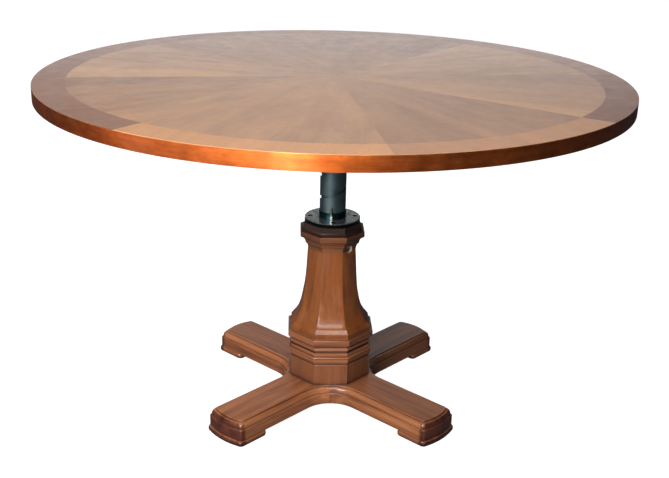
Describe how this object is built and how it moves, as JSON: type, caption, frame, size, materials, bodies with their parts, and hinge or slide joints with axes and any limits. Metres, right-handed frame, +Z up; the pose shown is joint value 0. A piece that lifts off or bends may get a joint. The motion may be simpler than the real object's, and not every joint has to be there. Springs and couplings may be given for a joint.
{
  "type": "tilt top table",
  "caption": "Round veneered pedestal table on a cross base; its top screws up and down on a grooved steel shaft and tilts on a hinged block.",
  "frame": {"origin": "on the floor under the middle of the column", "axes": "+Z up; the front of the table, with the lock screw to its right, faces -Y; +X is to the right seen from the front"},
  "size_m": [1.2191, 1.2192, 0.73],
  "materials": {
    "walnut": "satin lacquer",
    "walnut_dark": "satin lacquer, dark stain",
    "face_veneer": "figured veneer under gloss lacquer",
    "border_veneer": "crossbanded veneer under gloss lacquer",
    "edge_wood": "gloss lacquer",
    "core_board": "raw board",
    "backing": "plain sealed veneer",
    "beech": "oiled",
    "gunmetal": "dark oiled steel",
    "polished_steel": "polished steel",
    "steel": "bright zinc plate",
    "brass": "polished, lacquered",
    "nylon": "moulded nylon"
  },
  "bodies": {
    "base": {"leg_front_right": "walnut", "foot_pad_front_right": "walnut", "leg_back_right": "walnut", "foot_pad_back_right": "walnut", "leg_back_left": "walnut", "foot_pad_back_left": "walnut", "leg_front_left": "walnut", "foot_pad_front_left": "walnut", "pad_screws": "steel", "leg_splines": "beech", "base_plate": "steel", "tie_bolts_and_nuts": "steel", "stave_bolts": "steel", "column_stave_1": "walnut", "column_stave_2": "walnut", "column_stave_3": "walnut", "column_stave_4": "walnut", "column_stave_5": "walnut", "column_stave_6": "walnut", "column_stave_7": "walnut", "column_stave_8": "walnut", "plinth_panels": "walnut", "plinth_mouldings": "walnut", "waist_mouldings": "walnut", "cap_mouldings": "walnut", "cap_blocks": "walnut_dark", "flange": "polished_steel", "flange_screws": "steel", "collar": "gunmetal", "collar_key": "polished_steel", "guide_tube": "steel", "lock_bush": "brass"},
    "guide_shoe": {"guide_shoe": "nylon"},
    "screw": {"screw_shaft": "gunmetal", "shoe_bolt": "steel", "head_plate": "gunmetal", "head_bolts": "steel", "tilt_block": "beech", "hinge_pins": "steel", "catch_keep": "brass", "keep_screws": "brass"},
    "top": {"top_core": "core_board", "backing_veneer": "backing", "edge_band": "edge_wood", "border_veneers": "border_veneer", "bearer_left": "beech", "bearer_right": "beech", "bearer_screws": "steel", "catch_case": "brass", "catch_screws": "brass", "face_veneer_1": "face_veneer", "face_veneer_2": "face_veneer", "face_veneer_3": "face_veneer", "face_veneer_4": "face_veneer", "face_veneer_5": "face_veneer", "face_veneer_6": "face_veneer", "face_veneer_7": "face_veneer", "face_veneer_8": "face_veneer"},
    "catch_bolt": {"catch_bolt": "brass"},
    "lock_screw": {"lock_screw": "brass"}
  },
  "joints": [
    {"name": "lift", "type": "slide", "parent": "base", "child": "guide_shoe", "axis": [0, 0, 1], "range_m": [-0.2159, 0]},
    {"name": "top_turn", "type": "hinge", "parent": "guide_shoe", "child": "screw", "pos_m": [0, 0, 0.302], "axis": [0, 0, 1], "range_deg": [-1530, 0]},
    {"name": "top_tilt", "type": "hinge", "parent": "screw", "child": "top", "pos_m": [0, -0.21, 0.6864], "axis": [1, 0, 0], "range_deg": [0, 85]},
    {"name": "catch_slide", "type": "slide", "parent": "top", "child": "catch_bolt", "axis": [0, -1, 0], "range_m": [0, 0.014]},
    {"name": "lock_turn", "type": "hinge", "parent": "base", "child": "lock_screw", "pos_m": [0.03182, -0.03182, 0.3585], "axis": [0.7071, -0.7071, 0], "range_deg": [0, 720]}
  ],
  "couplings": [
    {"joint": "lift", "follows": "top_turn", "m_per_rad": 0.0080851}
  ]
}
